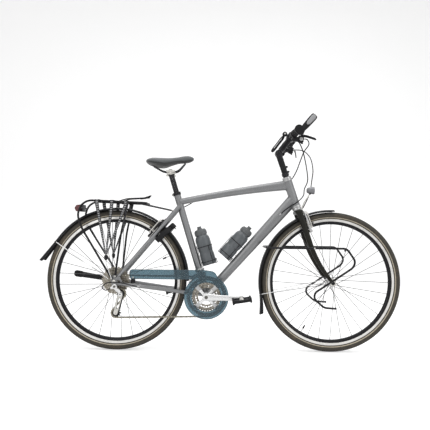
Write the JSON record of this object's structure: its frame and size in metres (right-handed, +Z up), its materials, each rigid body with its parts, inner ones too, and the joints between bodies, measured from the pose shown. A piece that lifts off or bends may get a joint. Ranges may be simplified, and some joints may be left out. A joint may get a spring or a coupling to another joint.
{
  "type": "touring bicycle",
  "caption": "Touring bicycle with rear and low front carriers, mudguards, derailleur gears, rim brakes, ring lock, lamps, bottles and adjustable stem.",
  "frame": {"origin": "on the ground under the middle of the length, in the middle plane", "axes": "+X forward, +Y to the left of the rider, +Z up"},
  "size_m": [1.8072, 0.606, 1.1402],
  "materials": {
    "tyre": "rubber tread, matt",
    "rim": "brushed alloy",
    "silver": "polished alloy",
    "steel": "bare steel",
    "frame_paint": "metallic grey, clear coat",
    "black_paint": "satin black",
    "black_plastic": "matt",
    "grip_rubber": "matt rubber",
    "saddle_cover": "dark grey cover",
    "guard_smoke": "see-through smoke",
    "bottle_smoke": "smoked plastic",
    "lamp_red": "dark red lens",
    "strap": "woven elastic"
  },
  "bodies": {
    "frame": {"frame": "frame_paint", "rear_axle": "steel", "rear_mudguard": "black_plastic", "rear_rack": "black_paint", "tail_lamp": "lamp_red", "luggage_straps": "strap", "ring_lock": "black_plastic", "bottle_cage_seat": "black_paint", "bottle_cage_down": "black_paint", "chain_guard": "guard_smoke", "chain": "steel", "cable_rear_derailleur": "black_plastic", "cable_rear_brake": "black_plastic", "cable_gears": "black_plastic"},
    "steering": {"fork": "black_paint", "stem_riser": "black_paint", "front_axle": "black_plastic", "front_mudguard": "black_plastic", "low_rider": "black_paint", "headlamp": "black_plastic", "cable_front_brake": "black_plastic"},
    "bars": {"stem_arm": "black_paint", "handlebar": "black_paint", "grip_right": "grip_rubber", "grip_left": "grip_rubber", "control_right": "black_plastic", "control_left": "black_plastic"},
    "stem_lever": {"stem_lever": "black_plastic"},
    "brake_lever_right": {"brake_lever_right": "black_paint"},
    "brake_lever_left": {"brake_lever_left": "black_paint"},
    "rear_brake_right": {"rear_brake_right": "silver"},
    "rear_brake_left": {"rear_brake_left": "silver"},
    "front_brake_right": {"front_brake_right": "silver"},
    "front_brake_left": {"front_brake_left": "silver"},
    "rear_wheel": {"rear_tyre": "tyre", "rear_rim": "rim", "rear_hub": "silver"},
    "cassette": {"cassette": "steel"},
    "front_wheel": {"front_tyre": "tyre", "front_rim": "rim", "front_hub": "silver"},
    "crankset": {"crankset": "silver", "chainrings": "steel"},
    "pedal_right": {"pedal_right": "black_plastic"},
    "pedal_left": {"pedal_left": "black_plastic"},
    "rear_derailleur": {"rear_derailleur": "silver"},
    "derailleur_cage": {"derailleur_cage": "black_paint"},
    "guide_pulley": {"guide_pulley": "black_plastic"},
    "tension_pulley": {"tension_pulley": "black_plastic"},
    "front_derailleur_cage": {"front_derailleur_cage": "silver"},
    "seat": {"seat_post": "black_paint", "saddle": "saddle_cover"},
    "rear_release_lever": {"rear_release_lever": "silver"},
    "front_release_lever": {"front_release_lever": "silver"},
    "kickstand": {"kickstand": "black_paint"},
    "rack_clip": {"rack_clip": "steel"},
    "lock_shackle": {"lock_shackle": "steel"},
    "bottle_seat": {"bottle_seat": "bottle_smoke"},
    "bottle_down": {"bottle_down": "bottle_smoke"}
  },
  "joints": [
    {"name": "steering_turn", "type": "hinge", "parent": "frame", "child": "steering", "pos_m": [0.33161, 0, 0.86133], "axis": [-0.3256, 0, 0.9455], "range_deg": [-55, 55], "deforming": ["cable_rear_brake", "cable_gears"]},
    {"name": "stem_tilt", "type": "hinge", "parent": "steering", "child": "bars", "pos_m": [0.28701, 0, 0.99086], "axis": [0, 1, 0], "range_deg": [-25, 25], "deforming": ["cable_front_brake", "cable_rear_brake", "cable_gears"]},
    {"name": "stem_lever_open", "type": "hinge", "parent": "bars", "child": "stem_lever", "pos_m": [0.31823, 0, 1.08879], "axis": [0, 1, 0], "range_deg": [0, 95]},
    {"name": "brake_lever_right_pull", "type": "hinge", "parent": "bars", "child": "brake_lever_right", "pos_m": [0.37803, -0.162, 1.0478], "axis": [0, 0, 1], "range_deg": [-16, 0], "stiffness_Nm_per_rad": 1.2},
    {"name": "brake_lever_left_pull", "type": "hinge", "parent": "bars", "child": "brake_lever_left", "pos_m": [0.37803, 0.162, 1.0478], "axis": [0, 0, 1], "range_deg": [0, 16], "stiffness_Nm_per_rad": 1.2},
    {"name": "rear_brake_right_turn", "type": "hinge", "parent": "frame", "child": "rear_brake_right", "pos_m": [-0.34969, -0.04, 0.57283], "axis": [-0.7658, 0, 0.6431], "range_deg": [0, 2.2]},
    {"name": "front_brake_right_turn", "type": "hinge", "parent": "steering", "child": "front_brake_right", "pos_m": [0.44609, -0.04, 0.60567], "axis": [0.9455, 0, 0.3256], "range_deg": [-2.2, 0]},
    {"name": "rear_brake_left_turn", "type": "hinge", "parent": "frame", "child": "rear_brake_left", "pos_m": [-0.34969, 0.04, 0.57283], "axis": [-0.7658, 0, 0.6431], "range_deg": [-2.2, 0]},
    {"name": "front_brake_left_turn", "type": "hinge", "parent": "steering", "child": "front_brake_left", "pos_m": [0.44609, 0.04, 0.60567], "axis": [0.9455, 0, 0.3256], "range_deg": [0, 2.2]},
    {"name": "rear_wheel_spin", "type": "hinge", "parent": "frame", "child": "rear_wheel", "pos_m": [-0.51544, 0, 0.349], "axis": [0, 1, 0], "continuous": true},
    {"name": "cassette_spin", "type": "hinge", "parent": "frame", "child": "cassette", "pos_m": [-0.51544, 0, 0.349], "axis": [0, 1, 0], "continuous": true},
    {"name": "front_wheel_spin", "type": "hinge", "parent": "steering", "child": "front_wheel", "pos_m": [0.55456, 0, 0.349], "axis": [0, 1, 0], "continuous": true},
    {"name": "crank_turn", "type": "hinge", "parent": "frame", "child": "crankset", "pos_m": [-0.06544, 0, 0.277], "axis": [0, 1, 0], "continuous": true},
    {"name": "pedal_right_spin", "type": "hinge", "parent": "crankset", "child": "pedal_right", "pos_m": [0.10451, 0, 0.27285], "axis": [0, 1, 0], "continuous": true},
    {"name": "pedal_left_spin", "type": "hinge", "parent": "crankset", "child": "pedal_left", "pos_m": [-0.23539, 0, 0.28115], "axis": [0, 1, 0], "continuous": true},
    {"name": "derailleur_swing", "type": "hinge", "parent": "frame", "child": "rear_derailleur", "pos_m": [-0.50824, 0, 0.326], "axis": [0, 1, 0], "range_deg": [-6, 6], "stiffness_Nm_per_rad": 8, "deforming": ["chain", "cable_rear_derailleur"]},
    {"name": "cage_swing", "type": "hinge", "parent": "rear_derailleur", "child": "derailleur_cage", "pos_m": [-0.48344, 0, 0.288], "axis": [0, 1, 0], "range_deg": [-20, 20], "stiffness_Nm_per_rad": 1.5, "deforming": ["chain"]},
    {"name": "guide_pulley_spin", "type": "hinge", "parent": "derailleur_cage", "child": "guide_pulley", "pos_m": [-0.48344, 0, 0.288], "axis": [0, 1, 0], "continuous": true},
    {"name": "tension_pulley_spin", "type": "hinge", "parent": "derailleur_cage", "child": "tension_pulley", "pos_m": [-0.50744, 0, 0.193], "axis": [0, 1, 0], "continuous": true},
    {"name": "front_cage_shift", "type": "slide", "parent": "frame", "child": "front_derailleur_cage", "axis": [0, 1, 0], "range_m": [0, 0.0144], "deforming": ["chain"]},
    {"name": "seat_height", "type": "slide", "parent": "frame", "child": "seat", "axis": [-0.2924, 0, 0.9563], "range_m": [-0.06, 0.06]},
    {"name": "rear_release_open", "type": "hinge", "parent": "frame", "child": "rear_release_lever", "pos_m": [-0.51544, 0.0851, 0.349], "axis": [-0.7658, 0, 0.6431], "range_deg": [0, 105]},
    {"name": "front_release_open", "type": "hinge", "parent": "steering", "child": "front_release_lever", "pos_m": [0.55456, 0.0676, 0.349], "axis": [0.5592, 0, -0.829], "range_deg": [0, 150]},
    {"name": "kickstand_turn", "type": "hinge", "parent": "frame", "child": "kickstand", "pos_m": [-0.45344, 0.1, 0.322], "axis": [0, 1, 0], "range_deg": [-98, 0]},
    {"name": "clip_lift", "type": "hinge", "parent": "frame", "child": "rack_clip", "pos_m": [-0.49744, 0, 0.73739], "axis": [0, 1, 0], "range_deg": [-60, 0], "stiffness_Nm_per_rad": 0.3},
    {"name": "lock_slide", "type": "hinge", "parent": "frame", "child": "lock_shackle", "pos_m": [-0.28221, 0, 0.5782], "axis": [-0.7009, 0, 0.7133], "range_deg": [-80, 0]},
    {"name": "bottle_seat_out", "type": "slide", "parent": "frame", "child": "bottle_seat", "axis": [-0.2924, 0, 0.9563], "range_m": [0, 0.08]},
    {"name": "bottle_down_out", "type": "slide", "parent": "frame", "child": "bottle_down", "axis": [0.6634, 0, 0.7482], "range_m": [0, 0.09]}
  ],
  "couplings": [
    {"joint": "cassette_spin", "follows": "crank_turn", "ratio": 3.4286},
    {"joint": "guide_pulley_spin", "follows": "crank_turn", "ratio": -4.3636},
    {"joint": "tension_pulley_spin", "follows": "crank_turn", "ratio": 4.3636},
    {"joint": "rear_brake_right_turn", "follows": "brake_lever_right_pull", "ratio": -0.137},
    {"joint": "rear_brake_left_turn", "follows": "brake_lever_right_pull", "ratio": 0.137},
    {"joint": "front_brake_right_turn", "follows": "brake_lever_left_pull", "ratio": -0.137},
    {"joint": "front_brake_left_turn", "follows": "brake_lever_left_pull", "ratio": 0.137}
  ]
}
